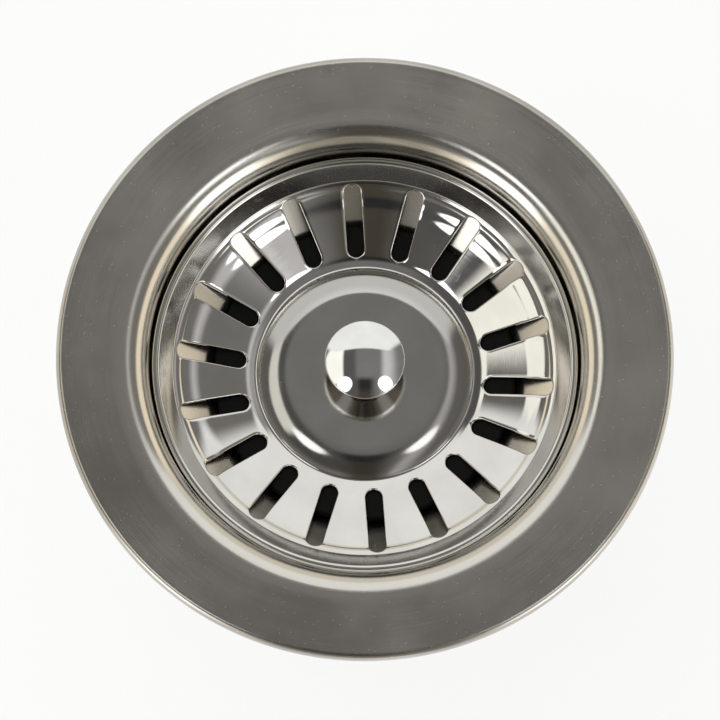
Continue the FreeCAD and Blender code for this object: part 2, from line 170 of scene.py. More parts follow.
# Stopper seal
SEAL_BOSS_RADIUS = PLATEAU_RADIUS - 3.0
SEAL_BOSS_FOOT_RADIUS = SEAL_BOSS_RADIUS + 1.5
SEAL_BOSS_TOP = -11.1
SEAL_TOP = -13.0
SEAL_UNDER = -15.2
SEAL_BRIM_RADIUS = SEAL_RADIUS - 6.6
SEAL_BRIM_RISE = 1.8
STOPPER_SEAL = [
    (STEM_HOLE, SEAL_UNDER),
    (SEAL_BRIM_RADIUS, SEAL_UNDER),
    (SEAL_RADIUS, SEAL_UNDER + SEAL_BRIM_RISE, 0.5),
    (SEAL_RADIUS, SEAL_TOP + SEAL_BRIM_RISE, 0.5),
    (SEAL_BRIM_RADIUS, SEAL_TOP),
    (SEAL_BOSS_FOOT_RADIUS, SEAL_TOP),
    (SEAL_BOSS_RADIUS, SEAL_BOSS_TOP),
    (STEM_HOLE, SEAL_BOSS_TOP),
]

# Seal retainer, stem and the ring in the stem's groove
RETAINER_RADIUS = 11.0
RETAINER_UNDER = -16.2
SEAL_RETAINER = [
    (STEM_HOLE, RETAINER_UNDER),
    (RETAINER_RADIUS, RETAINER_UNDER, 0.4),
    (RETAINER_RADIUS, SEAL_UNDER, 0.4),
    (STEM_HOLE, SEAL_UNDER),
]
SHOULDER_UNDER = -17.6
SHOULDER_RADIUS = 5.5
STEM_TOP = -4.0
STEM_TIP = -30.0
O_RING_HEIGHT = -27.0
O_RING_SECTION = 0.95
O_RING_OUTER = 3.05
GROOVE_RADIUS = 2.1
GROOVE_HALF = 0.725
STEM = [
    (0.0, STEM_TIP),
    (STEM_RADIUS, STEM_TIP, 0.6),
    (STEM_RADIUS, O_RING_HEIGHT - GROOVE_HALF),
    (GROOVE_RADIUS, O_RING_HEIGHT - GROOVE_HALF),
    (GROOVE_RADIUS, O_RING_HEIGHT + GROOVE_HALF),
    (STEM_RADIUS, O_RING_HEIGHT + GROOVE_HALF),
    (STEM_RADIUS, SHOULDER_UNDER),
    (SHOULDER_RADIUS, SHOULDER_UNDER),
    (SHOULDER_RADIUS, RETAINER_UNDER),
    (STEM_RADIUS, RETAINER_UNDER),
    (STEM_RADIUS, STEM_TOP, 0.6),
    (0.0, STEM_TOP),
]

# Outlet body
BODY_TOP = -6.5
BODY_RADIUS = 53.5
BODY_FLANGE_UNDER = -10.0
BODY_WALL = 2.8
BOWL_RADIUS = 43.5
BOWL_OUTSIDE = BOWL_RADIUS + BODY_WALL
BOWL_FOOT = -22.0
BOWL_ROUND = 7.0
TAIL_TOP = -35.0
TAIL_END = -62.0
TAIL_RADIUS = 23.9
TAIL_BORE = 20.0
EDGE_ROUND = 0.8
BOWL_AND_TAIL = [
    (BOWL_RADIUS, BODY_TOP),
    (BODY_RADIUS, BODY_TOP, EDGE_ROUND),
    (BODY_RADIUS, BODY_FLANGE_UNDER, EDGE_ROUND),
    (BOWL_OUTSIDE, BODY_FLANGE_UNDER, EDGE_ROUND),
    (BOWL_OUTSIDE, BOWL_FOOT - BODY_WALL, BOWL_ROUND + BODY_WALL),
    (TAIL_RADIUS, TAIL_TOP - BODY_WALL, 5.0),
    (TAIL_RADIUS, TAIL_END, 0.9),
    (TAIL_BORE, TAIL_END, 0.9),
    (TAIL_BORE, TAIL_TOP, 5.0),
    (BOWL_RADIUS, BOWL_FOOT, BOWL_ROUND),
]
WELD = 1.2
GUSSET_RADIUS = 52.1
GUSSET_TIP = BODY_FLANGE_UNDER - 0.8
GUSSET_FOOT = BODY_FLANGE_UNDER - 9.0
GUSSET_COUNT = 8
GUSSET_THICKNESS = 2.2
GUSSET_BEVEL = 0.25
GUSSET = [
    (BOWL_OUTSIDE - WELD, BODY_FLANGE_UNDER + WELD),
    (GUSSET_RADIUS, BODY_FLANGE_UNDER + WELD),
    (GUSSET_RADIUS, GUSSET_TIP),
    (BOWL_OUTSIDE - WELD, GUSSET_FOOT),
]
HUB_TOP = -33.8
HUB_END = -46.8
HUB_RADIUS = 9.0
INSERT_RADIUS = 6.5
HUB = [
    (INSERT_RADIUS, HUB_END),
    (HUB_RADIUS, HUB_END),
    (HUB_RADIUS, HUB_TOP, EDGE_ROUND),
    (INSERT_RADIUS, HUB_TOP),
]
ARM_TOP = HUB_TOP - 3.5
ARM_UNDER = ARM_TOP - 8.5
ARM_COUNT = 4
ARM_THICKNESS = 3.5
ARM_BEVEL = 0.3
ARM_TURN = math.radians(45)
ARM = [
    (HUB_RADIUS - WELD, ARM_TOP),
    (TAIL_BORE + WELD, ARM_TOP),
    (TAIL_BORE + WELD, ARM_UNDER),
    (HUB_RADIUS - WELD, ARM_UNDER),
]
TAIL_THREAD = {
    "Pitch": 2.309 * MM,
    "Depth": 0.8 * MM,
    "Bottom": -60.9 * MM,
    "Top": -41.2 * MM,
    "Run Out": 1.6 * MM,
    "Inside": (TAIL_RADIUS + TAIL_BORE) / 2 * MM,
}
THREAD_ROWS_TOP = -41.0
THREAD_ROWS_END = -61.0
THREAD_ROWS = 134

# Brass insert
INSERT_BORE = 5.05
INSERT_END = -48.8
INSERT_FLANGE_RADIUS = 8.2
BRASS_INSERT = [
    (INSERT_BORE, INSERT_END),
    (INSERT_FLANGE_RADIUS, INSERT_END, 0.3),
    (INSERT_FLANGE_RADIUS, HUB_END, 0.3),
    (INSERT_RADIUS, HUB_END),
    (INSERT_RADIUS, HUB_TOP),
    (INSERT_BORE, HUB_TOP),
]

# Gaskets on both sides of the sink
UNDER_GASKET_RADIUS = 53.0
UNDER_GASKET_BORE = 41.3
UNDER_GASKET_TOP = -2.5
SPIGOT_RADIUS = 43.4
SPIGOT_UNDER = BODY_TOP - 2.0
UNDER_SINK_GASKET = [
    (UNDER_GASKET_BORE, SPIGOT_UNDER),
    (SPIGOT_RADIUS, SPIGOT_UNDER),
    (SPIGOT_RADIUS, BODY_TOP),
    (UNDER_GASKET_RADIUS, BODY_TOP, EDGE_ROUND),
    (UNDER_GASKET_RADIUS, UNDER_GASKET_TOP, EDGE_ROUND),
    (UNDER_GASKET_BORE, UNDER_GASKET_TOP),
]
FLANGE_GASKET_RADIUS = 55.2
FLANGE_GASKET_BORE = 46.0
FLANGE_GASKET_TOP = FLANGE_TOP - CUP_SHEET
FLANGE_GASKET = [
    (FLANGE_GASKET_BORE, 0.0),
    (FLANGE_GASKET_RADIUS, 0.0, EDGE_ROUND),
    (FLANGE_GASKET_RADIUS, FLANGE_GASKET_TOP, EDGE_ROUND),
    (FLANGE_GASKET_BORE, FLANGE_GASKET_TOP),
]

# The light that comes from each part of the room, and its two round lamps in degrees
OVERHEAD = (0.21, 0.206, 0.196, 1)
OVERHEAD_LEFT = (0.11, 0.108, 0.103, 1)
MIDDLE_WALL = (0.2, 0.19, 0.175, 1)
RIGHT_PANEL = (0.63, 0.62, 0.61, 1)
LEFT_PANEL = (1.22, 1.2, 1.1, 1)
LOW_WALL = (1.1, 0.98, 0.78, 1)
LOW_WHITE = (2.4, 2.35, 2.25, 1)
FAR_PANEL = (1.0, 1.0, 0.98, 1)
NEAR_SIDE = (0.03, 0.03, 0.031, 1)
NEAR_MIDDLE = (0.07, 0.061, 0.047, 1)
NEAR_LOW = (0.5, 0.47, 0.39, 1)
FAR_LOW = (0.8, 0.75, 0.64, 1)
LAMP = (2.2, 2.2, 2.2, 1)
LAMP_AZIMUTHS = (213, 329)
LAMP_FROM_ZENITH = 24.6
LAMP_HALF = 7.2
LAMP_SOFT = 0.7


class Line:
    """A straight run of a profile."""

    def __init__(self, start, end):
        self.start = start
        self.end = end

    def steps(self):
        guard = min(GUARD / (self.end - self.start).length, GUARD_MOST)
        return [0.0, guard, 1 - guard]

    def point(self, share):
        return self.start.lerp(self.end, share)

    def along(self, share):
        return (self.end - self.start).normalized()


class Arc:
    """A round of a profile."""

    def __init__(self, centre, radius, start, sweep):
        self.centre = centre
        self.radius = radius
        self.start = start
        self.sweep = sweep

    def steps(self):
        count = max(3, math.ceil(abs(self.sweep) / ARC_STEP))
        return [step / count for step in range(count)]

    def spoke(self, share):
        angle = self.start + self.sweep * share
        return Vector((math.cos(angle), math.sin(angle)))

    def point(self, share):
        return self.centre + self.spoke(share) * self.radius

    def along(self, share):
        return self.spoke(share).orthogonal() * math.copysign(1, self.sweep)


def trace(corners, closed=True):
    """The lines and tangent arcs through the corners."""
    points = [Vector(corner[:2]) for corner in corners]
    count = len(points)
    arrive = list(points)
    leave = list(points)
    arcs = {}
    for i, corner in enumerate(corners):
        if len(corner) == 3:
            before = (points[i - 1] - points[i]).normalized()
            after = (points[(i + 1) % count] - points[i]).normalized()
            half = before.angle(after) / 2
            arrive[i] = points[i] + before * (corner[2] / math.tan(half))
            leave[i] = points[i] + after * (corner[2] / math.tan(half))
            centre = points[i] + (before + after).normalized() * (corner[2] / math.sin(half))
            spoke = arrive[i] - centre
            sweep = math.copysign(math.pi - 2 * half, after.cross(before))
            arcs[i] = Arc(centre, corner[2], math.atan2(spoke.y, spoke.x), sweep)
    runs = []
    for i in range(count):
        if i in arcs:
            runs.append(arcs[i])
        if closed or i < count - 1:
            runs.append(Line(leave[i], arrive[(i + 1) % count]))
    return runs


def normal(run, share):
    """The side of a line that is up where the line is drawn towards the axis."""
    along = run.along(share)
    return Vector((along.y, -along.x))


def stations(runs):
    """Points and normals along an open line."""
    places = [(run, share) for run in runs for share in run.steps()] + [(runs[-1], 1.0)]
    return [(run.point(share), normal(run, share)) for run, share in places]


def outline(corners):
    """The points of a closed profile."""
    return [run.point(share) for run in trace(corners) for share in run.steps()]


def sheet_outline(corners, thickness):
    """The points along a sheet's upper face, and along its lower face a thickness below."""
    places = stations(trace(corners, closed=False))
    upper = [point for point, up in places]
    lower = [point - up * thickness for point, up in places]
    return upper, lower


def on_surface(runs, radius):
    """The point and normal of a line at a radius, where its radius falls steadily."""
    for run in runs:
        if run.point(1).x <= radius <= run.point(0).x:
            low, high = 0.0, 1.0
            for halving in range(HALVINGS):
                middle = (low + high) / 2
                if run.point(middle).x > radius:
                    low = middle
                else:
                    high = middle
            return run.point(low), normal(run, low)
    raise ValueError(f"no part of the line lies at radius {radius}")


def spin(point, angle):
    """A profile point turned to an angle about the axis."""
    return Vector((point.x * math.cos(angle), point.x * math.sin(angle), point.y))


class Shell:
    """Points in millimetres and the faces between rows of them."""

    def __init__(self):
        self.points = []
        self.faces = []

    def row(self, points):
        start = len(self.points)
        self.points += [Vector(point) for point in points]
        return list(range(start, len(self.points)))

    def bridge(self, first, second):
        for i in range(len(first) - 1):
            self.faces.append((first[i], first[i + 1], second[i + 1], second[i]))

    def skin(self, rows):
        for first, second in zip(rows, rows[1:]):
            self.bridge(first, second)

    def cover(self, ring):
        self.faces.append(tuple(ring))

    def mesh(self, name):
        mesh = bpy.data.meshes.new(name)
        mesh.from_pydata([point * MM for point in self.points], [], self.faces)
        return mesh


def spread(start, end, count):
    """Even steps from start to end, with both of them."""
    return [start + (end - start) * step / count for step in range(count + 1)]


class Signal:
    """A node socket that can stand in a formula, for shaders and geometry alike."""

    def __init__(self, graph, socket):
        self.graph = graph
        self.socket = socket

    def __add__(self, other):
        return self.graph.math("ADD", self, other)

    def __sub__(self, other):
        return self.graph.math("SUBTRACT", self, other)

    def __rsub__(self, other):
        return self.graph.math("SUBTRACT", other, self)

    def __mul__(self, other):
        return self.graph.math("MULTIPLY", self, other)

    def __truediv__(self, other):
        return self.graph.math("DIVIDE", self, other)

    def __rtruediv__(self, other):
        return self.graph.math("DIVIDE", other, self)

    def __pow__(self, other):
        return self.graph.math("POWER", self, other)

    def __rpow__(self, other):
        return self.graph.math("POWER", other, self)

    def __neg__(self):
        return self.graph.math("MULTIPLY", self, -1.0)

    def __abs__(self):
        return self.graph.math("ABSOLUTE", self)

    __radd__ = __add__
    __rmul__ = __mul__

    def rise(self, low, high):
        """Goes smoothly from 0 where this is low to 1 where it is high."""
        settings = {"interpolation_type": "SMOOTHSTEP"}
        return self.graph.out(self.graph.node("ShaderNodeMapRange", settings, {0: self, 1: low, 2: high}))

    def between(self, first, second):
        """Goes from first where this is 0 to second where it is 1."""
        return first + self * (second - first)


class Graph:
    """A node tree that is filled by formulas."""

    def __init__(self, tree):
        self.tree = tree
        tree.nodes.clear()

    def feed(self, socket, value):
        if isinstance(value, Signal):
            self.tree.links.new(value.socket, socket)
        else:
            socket.default_value = value

    def node(self, kind, settings=(), inputs=()):
        node = self.tree.nodes.new(kind)
        for name, value in dict(settings).items():
            setattr(node, name, value)
        for key, value in dict(inputs).items():
            self.feed(node.inputs[key], value)
        return node

    def out(self, node, key=0):
        return Signal(self, node.outputs[key])

    def math(self, operation, *values):
        return self.out(self.node("ShaderNodeMath", {"operation": operation}, dict(enumerate(values))))

    def vector(self, x, y, z):
        return self.out(self.node("ShaderNodeCombineXYZ", (), {0: x, 1: y, 2: z}))

    def parts(self, vector):
        node = self.node("ShaderNodeSeparateXYZ", (), {0: vector})
        return [self.out(node, axis) for axis in range(3)]

    def noise(self, vector, scale, detail=2.0, roughness=0.5):
        inputs = {"Vector": vector, "Scale": scale, "Detail": detail, "Roughness": roughness}
        return self.out(self.node("ShaderNodeTexNoise", (), inputs))

    def mix(self, share, first, second):
        """A colour between two others."""
        settings = {"data_type": "RGBA"}
        return self.out(self.node("ShaderNodeMix", settings, {0: share, 6: first, 7: second}), 2)


def round_tree():
    """Geometry nodes that repeat a sector evenly about the Z axis."""
    tree = bpy.data.node_groups.new("repeat_round", "GeometryNodeTree")
    sockets = tree.interface
    sockets.new_socket("Sector", in_out="INPUT", socket_type="NodeSocketGeometry")
    sockets.new_socket("Count", in_out="INPUT", socket_type="NodeSocketInt")
    sockets.new_socket("Turn", in_out="INPUT", socket_type="NodeSocketFloat")
    sockets.new_socket("Material", in_out="INPUT", socket_type="NodeSocketMaterial")
    sockets.new_socket("Whole", in_out="OUTPUT", socket_type="NodeSocketGeometry")
    graph = Graph(tree)
    given = graph.node("NodeGroupInput")
    count = graph.out(given, "Count")
    index = graph.out(graph.node("GeometryNodeInputIndex"))
    angle = graph.out(given, "Turn") + index * (2 * math.pi) / count
    turning = graph.node("FunctionNodeAxisAngleToRotation", (), {"Axis": (0, 0, 1), "Angle": angle})
    points = graph.node("GeometryNodePoints", (), {"Count": count})
    placed = graph.node("GeometryNodeInstanceOnPoints", (), {
        "Points": graph.out(points),
        "Instance": graph.out(given, "Sector"),
        "Rotation": graph.out(turning),
    })
    real = graph.node("GeometryNodeRealizeInstances", (), {"Geometry": graph.out(placed)})
    merged = graph.node("GeometryNodeMergeByDistance", (), {
        "Geometry": graph.out(real),
        "Distance": MERGE * MM,
    })
    finished = graph.node("GeometryNodeSetMaterial", (), {
        "Geometry": graph.out(merged),
        "Material": graph.out(given, "Material"),
    })
    graph.node("NodeGroupOutput", (), {"Whole": graph.out(finished)})
    return tree


def thread_tree():
    """Geometry nodes that sink a rounded screw thread into a cylinder about the Z axis."""
    tree = bpy.data.node_groups.new("screw_thread", "GeometryNodeTree")
    sockets = tree.interface
    sockets.new_socket("Blank", in_out="INPUT", socket_type="NodeSocketGeometry")
    for name in TAIL_THREAD:
        sockets.new_socket(name, in_out="INPUT", socket_type="NodeSocketFloat")
    sockets.new_socket("Threaded", in_out="OUTPUT", socket_type="NodeSocketGeometry")
    graph = Graph(tree)
    given = graph.node("NodeGroupInput")
    pitch, depth, bottom, top, run_out, inside = [graph.out(given, name) for name in TAIL_THREAD]
    x, y, z = graph.parts(graph.out(graph.node("GeometryNodeInputPosition")))
    radius = (x * x + y * y) ** 0.5
    wave = graph.math("COSINE", (z / pitch) * (2 * math.pi) - graph.math("ARCTAN2", y, x))
    cut = (0.5 - wave * 0.5) * z.rise(bottom, bottom + run_out) * (1 - z.rise(top - run_out, top))
    cut = cut * graph.math("GREATER_THAN", radius, inside) * depth / radius
    moved = graph.node("GeometryNodeSetPosition", (), {
        "Geometry": graph.out(given, "Blank"),
        "Offset": graph.vector(-x * cut, -y * cut, 0.0),
    })
    graph.node("NodeGroupOutput", (), {"Threaded": graph.out(moved)})
    return tree


ROUND = round_tree()
THREAD = thread_tree()


def set_inputs(modifier, values):
    """Sets a modifier's named inputs by their identifiers."""
    for item in modifier.node_group.interface.items_tree:
        if item.name in values:
            modifier[item.identifier] = values[item.name]


def settle(holder):
    """Makes the holder's evaluated modifiers its plain mesh, with faces outwards and sharp edges kept."""
    evaluated = holder.evaluated_get(bpy.context.evaluated_depsgraph_get())
    mesh = bpy.data.meshes.new_from_object(evaluated)
    holder.modifiers.clear()
    holder.data = mesh
    mesh.name = holder.name
    shape = bmesh.new()
    shape.from_mesh(mesh)
    bmesh.ops.recalc_face_normals(shape, faces=shape.faces)
    shape.to_mesh(mesh)
    shape.free()
    mesh.shade_smooth()
    mesh.set_sharp_from_angle(angle=SMOOTH_ANGLE)
    return holder


def repeated(name, shell, count, material, turn=0.0, bevel=0.0, thread=None):
    """A piece of one sector repeated about the axis, with its edges broken or a thread cut if asked."""
    holder = bpy.data.objects.new(name, shell.mesh(name))
    bpy.context.scene.collection.objects.link(holder)
    if bevel:
        edges = holder.modifiers.new("edges", "BEVEL")
        edges.width = bevel * MM
        edges.segments = BEVEL_SEGMENTS
    repeat = holder.modifiers.new("repeat", "NODES")
    repeat.node_group = ROUND
    set_inputs(repeat, {"Count": count, "Turn": turn, "Material": material})
    if thread:
        cut = holder.modifiers.new("thread", "NODES")
        cut.node_group = THREAD
        set_inputs(cut, thread)
    return settle(holder)


def turned_points(name, points, material, thread=None):
    """A piece turned from points that go once round its section: a narrow strip, repeated."""
    shell = Shell()
    ring = points + points[:1]
    turns = (0, 2 * math.pi / TURNED_SECTORS)
    shell.skin([shell.row([spin(point, turn) for point in ring]) for turn in turns])
    return repeated(name, shell, TURNED_SECTORS, material, thread=thread)


def turned(name, corners, material):
    """A piece turned from a closed profile."""
    return turned_points(name, outline(corners), material)


def plate_shell(corners, thickness):
    """A flat plate of the outline, in the XZ plane."""
    shell = Shell()
    sides = [shell.row([(x, side * thickness / 2, z) for x, z in corners]) for side in (-1, 1)]
    shell.cover(sides[0][::-1])
    shell.cover(sides[1])
    shell.skin([side + side[:1] for side in sides])
    return shell


def resample(points, count):
    """Evenly spaced points along a line of points."""
    lengths = [0.0]
    for first, second in zip(points, points[1:]):
        lengths.append(lengths[-1] + (second - first).length)
    spaced = []
    at = 0
    for wanted in spread(0, lengths[-1], count):
        while at < len(points) - 2 and lengths[at + 1] < wanted:
            at += 1
        share = (wanted - lengths[at]) / (lengths[at + 1] - lengths[at])
        spaced.append(points[at].lerp(points[at + 1], share))
    return spaced


def flange_cup(material):
    """Flange, cup and well as turned sheet, and the well's flat floor with its four windows."""
    shell = Shell()
    half_angle = math.pi / WINDOW_COUNT
    upper, lower = sheet_outline(CUP_LINE, CUP_SHEET)
    section = lower[::-1] + upper
    window_line = [point for point, up in stations(trace(WINDOW_HALF, closed=False))]
    window = resample(window_line, HUB_STEPS + SPOKE_STEPS + CUP_COLUMNS)
    for side in (-1, 1):
        turns = [side * turn for turn in spread(0, half_angle, CUP_COLUMNS)]
        shell.skin([shell.row([spin(point, turn) for point in section]) for turn in turns])
        borders = []
        holes = []
        for height in (WELL_FLOOR, WELL_FLOOR - CUP_SHEET):
            border = []
            for turn in spread(0, half_angle, HUB_STEPS):
                border.append(spin(Vector((BOLT_HOLE, height)), side * turn))
            for radius in spread(BOLT_HOLE, WELL_FLAT_RADIUS, SPOKE_STEPS)[1:]:
                border.append(spin(Vector((radius, height)), side * half_angle))
            for turn in turns[::-1][1:]:
                border.append(spin(Vector((WELL_FLAT_RADIUS, height)), turn))
            borders.append(shell.row(border))
            holes.append(shell.row([(point.x, side * point.y, height) for point in window]))
            shell.bridge(borders[-1], holes[-1])
        shell.skin(holes)
        shell.skin([border[:HUB_STEPS + 1] for border in borders])
    return repeated("flange_cup_finish", shell, WINDOW_COUNT, material)


def slot_edge(runs, grown):
    """Half of a slot's outline from its inner tip to the middle of its outer end, in its own plan."""
    centre = SLOT_INNER + SLOT_HALF
    corner = SLOT_OUTER - SLOT_OUTER_ROUND
    end_half = SLOT_HALF - SLOT_OUTER_ROUND
    tip = SLOT_HALF + grown
    bend = SLOT_OUTER_ROUND + grown
    points = []
    for turn in spread(0, math.pi / 2, TIP_STEPS):
        points.append(Vector((centre - tip * math.cos(turn), tip * math.sin(turn))))
    for radius in sorted(point.x for point, up in stations(runs)):
        if centre + 2 * ROW_CLEARANCE < radius < corner - ROW_CLEARANCE:
            points.append(Vector((math.sqrt(radius ** 2 - SLOT_HALF ** 2), tip)))
    for turn in spread(0, math.pi / 2, CORNER_STEPS):
        points.append(Vector((corner + bend * math.sin(turn), end_half + bend * math.cos(turn))))
    for across in spread(end_half, 0, SLOT_END_COLUMNS)[1:]:
        points.append(Vector((SLOT_OUTER + grown, across)))
    return points


def basket_face(shell, runs, side, grown, depth):
    """One face of half a sector of the basket, sunk by a depth; returns its rim, slot and hole edges."""
    half_angle = math.pi / SLOT_COUNT

    def sunk(radius, turn):
        point, up = on_surface(runs, radius)
        return spin(point - up * depth, side * turn)

    edge = slot_edge(runs, grown)
    flank = edge[:-SLOT_END_COLUMNS]
    last = flank[-1]
    last_turn = math.atan2(last.y, last.x)
    places = stations(runs)[::-1]
    rows = []
    for point, up in places:
        if point.x < flank[0].length - ROW_CLEARANCE:
            turns = spread(0, half_angle, SLOT_COLUMNS)
            rows.append(shell.row([spin(point - up * depth, side * turn) for turn in turns]))
    hole = rows[0]
    slot = []
    for point in flank:
        turns = spread(math.atan2(point.y, point.x), half_angle, SLOT_COLUMNS)
        rows.append(shell.row([sunk(point.length, turn) for turn in turns]))
        slot.append(rows[-1][0])
    shell.skin(rows)
    end_points = edge[-SLOT_END_COLUMNS:]
    end = shell.row([sunk(point.length, math.atan2(point.y, point.x)) for point in end_points])
    outer_turns = spread(0, last_turn, SLOT_END_COLUMNS) + spread(last_turn, half_angle, SLOT_COLUMNS)[1:]
    outer_rows = [end[::-1] + rows[-1]]
    for point, up in places:
        if len(outer_rows) > 1 or point.x > last.length + ROW_CLEARANCE:
            outer_rows.append(shell.row([spin(point - up * depth, side * turn) for turn in outer_turns]))
    shell.skin(outer_rows)
    return outer_rows[-1], slot + end, hole


def strainer_basket(material):
    """The pressed basket, of sectors with a slot each, whose upper edge is drawn in by the die."""
    runs = trace(BASKET_LINE, closed=False)
    shell = Shell()
    for side in (-1, 1):
        upper_rim, upper_slot, upper_hole = basket_face(shell, runs, side, DIE_ROLL, 0.0)
        lower_rim, lower_slot, lower_hole = basket_face(shell, runs, side, 0.0, BASKET_SHEET)
        shell.bridge(upper_rim, lower_rim)
        shell.bridge(upper_hole, lower_hole)
        edges = [upper_slot]
        for bend in spread(0, math.pi / 2, DIE_ROLL_STEPS)[1:]:
            points = []
            for point in slot_edge(runs, DIE_ROLL * (1 - math.sin(bend))):
                at, up = on_surface(runs, point.length)
                turn = side * math.atan2(point.y, point.x)
                points.append(spin(at - up * (DIE_ROLL * (1 - math.cos(bend))), turn))
            edges.append(shell.row(points))
        shell.skin(edges + [lower_slot])
    return repeated("strainer_basket_finish", shell, SLOT_COUNT, material, turn=SLOT_TURN)


def joined(name, pieces):
    """One piece of several closed shells."""
    with bpy.context.temp_override(active_object=pieces[0], selected_editable_objects=pieces):
        bpy.ops.object.join()
    pieces[0].name = name
    return pieces[0]


def threaded_outline():
    """The profile of bowl and tail, with close rows of points where the thread is cut."""
    points = outline(BOWL_AND_TAIL)
    blank = [i for i, point in enumerate(points)
             if abs(point.x - TAIL_RADIUS) < SAME and THREAD_ROWS_END - GUARD < point.y < THREAD_ROWS_TOP]
    heights = spread(THREAD_ROWS_TOP, THREAD_ROWS_END, THREAD_ROWS)
    rows = [Vector((TAIL_RADIUS, height)) for height in heights]
    return points[:blank[0]] + rows + points[blank[-1] + 1:]


def outlet_body(material):
    """Bowl and tail, the clamping hub on its arms, and the gussets under the body's flange."""
    gusset = plate_shell(GUSSET, GUSSET_THICKNESS)
    arm = plate_shell(ARM, ARM_THICKNESS)
    return joined("outlet_body_finish", [
        turned_points("bowl_and_tail", threaded_outline(), material, TAIL_THREAD),
        turned("hub", HUB, material),
        repeated("gussets", gusset, GUSSET_COUNT, material, bevel=GUSSET_BEVEL),
        repeated("arms", arm, ARM_COUNT, material, turn=ARM_TURN, bevel=ARM_BEVEL),
    ])


def o_ring(material):
    """The small ring that grips in the bolt's bore."""
    half = O_RING_SECTION / 2
    middle = Vector((O_RING_OUTER - half, O_RING_HEIGHT))
    turns = spread(0, 2 * math.pi, RING_STEPS)[:-1]
    section = [middle + Vector((math.cos(turn), math.sin(turn))) * half for turn in turns]
    return turned_points("stem_o_ring_finish", section, material)


def new_material(name):
    material = bpy.data.materials.new(name)
    material.use_nodes = True
    return material, Graph(material.node_tree)


def close_material(graph, inputs):
    shader = graph.node("ShaderNodeBsdfPrincipled", (), inputs)
    graph.node("ShaderNodeOutputMaterial", (), {"Surface": graph.out(shader)})


def bump(graph, height, strength, distance):
    inputs = {"Height": height, "Strength": strength, "Distance": distance}
    return graph.out(graph.node("ShaderNodeBump", (), inputs))


def object_place(graph):
    return graph.out(graph.node("ShaderNodeTexCoord"), "Object")


def round_place(graph):
    """Radius and height in millimetres, and the way out from the axis as east and north, without a seam."""
    x, y, z = graph.parts(object_place(graph))
    radius = (x * x + y * y) ** 0.5
    return radius / MM, z / MM, x / radius, y / radius


def satin_steel():
    """Drawn sheet: cloudy and satin on the flange, plainer on the roll into the cup."""
    material, graph = new_material("satin_steel")
    place = object_place(graph)
    radius, height, east, north = round_place(graph)
    patches = graph.noise(place, 70.0, 3.0)
    brushing = graph.noise(graph.vector(east * 2, north * 2, (radius - height) * 9), 1.0, 3.0, 0.65)
    specks = graph.noise(place, 2600.0, 1.0).rise(0.74, 0.8)
    clouds = graph.noise(place, 26.0, 2.0)
    on_flange = radius.rise(CUP_RADIUS + 5.0, CUP_RADIUS + 7.5)
    in_cup = 1 - radius.rise(CUP_RADIUS - 0.8, CUP_RADIUS - 0.1)
    shade = (clouds * 0.5 + patches * 0.3 + brushing * 0.2).rise(0.36, 0.64)
    colour = graph.mix(shade, (0.42, 0.405, 0.375, 1), (0.62, 0.6, 0.56, 1))
    colour = graph.mix(on_flange, (0.68, 0.66, 0.62, 1), colour)
    colour = graph.mix(specks * 0.5, colour, (0.86, 0.85, 0.82, 1))
    finish = on_flange.between(in_cup.between(0.18, 0.22), 0.22)
    close_material(graph, {
        "Base Color": colour,
        "Metallic": 1.0,
        "Roughness": finish + (brushing - 0.5) * 0.08 + (patches - 0.5) * 0.08 + specks * 0.1,
        "Normal": bump(graph, brushing * in_cup.between(1.0, 0.1) + patches, 0.06, 0.0002),
    })
    return material


def polished_steel():
    """Polished sheet: brightest in the slotted dish, duller on the wall and on the centre's shoulder, whose
    darker colour is painted shade.
    """
    material, graph = new_material("polished_steel")
    place = object_place(graph)
    radius, height, east, north = round_place(graph)
    smears = graph.noise(place, 120.0, 3.0)
    rings = graph.noise(graph.vector(east * 3, north * 3, (radius - height) * 14), 1.0, 2.0, 0.6)
    scratches = graph.noise(graph.vector(east * 60, north * 9, radius * 0.8), 1.0, 1.0).rise(0.66, 0.7)
    on_shoulder = radius.rise(PLATEAU_RADIUS - 3.1, PLATEAU_RADIUS - 0.1)
    in_dish = radius.rise(TROUGH_RADIUS - 1.3, TROUGH_RADIUS - 0.5)
    on_wall = radius.rise(RISER_RADIUS - 0.7, RISER_RADIUS + 0.1)
    finish = in_dish.between(on_shoulder.between(0.08, 0.1), on_wall.between(0.035, 0.09))
    colour = graph.mix(smears.rise(0.3, 0.7), (0.66, 0.65, 0.625, 1), (0.72, 0.71, 0.69, 1))
    # Painted shade: the centre's shoulder and the trough beside it get a darker colour, to dim their
    # reflections.
    colour = graph.mix(on_shoulder * (1 - in_dish), colour, (0.48, 0.47, 0.45, 1))
    close_material(graph, {
        "Base Color": colour,
        "Metallic": 1.0,
        "Roughness": finish + smears.rise(0.45, 0.75) * 0.03 + scratches * 0.04,
        "Normal": bump(graph, (rings * 0.4 + smears) * on_wall.between(1.0, 0.4), 0.012, 0.0003),
    })
    return material


def bright_chrome():
    """Mirror bright on the knob, dark on the neck below its edge, where the dark colour is painted shade."""
    material, graph = new_material("bright_chrome")
    place = object_place(graph)
    smears = graph.noise(place, 260.0, 2.0)
    pits = graph.noise(place, 3800.0, 1.0).rise(0.76, 0.82)
    height = graph.parts(place)[2] / MM
    colour = graph.mix(smears.rise(0.35, 0.7), (0.78, 0.775, 0.765, 1), (0.83, 0.83, 0.825, 1))
    # Painted shade: the neck below the knob's edge is coloured near black, for the dark mirror image under
    # the knob.
    colour = graph.mix(height.rise(KNOB_EDGE - 1.6, KNOB_EDGE - 0.8), (0.1, 0.099, 0.097, 1), colour)
    close_material(graph, {
        "Base Color": colour,
        "Metallic": 1.0,
        "Roughness": 0.02 + smears.rise(0.5, 0.75) * 0.03 + pits * 0.08,
        "Normal": bump(graph, smears, 0.02, 0.0002),
    })
    return material


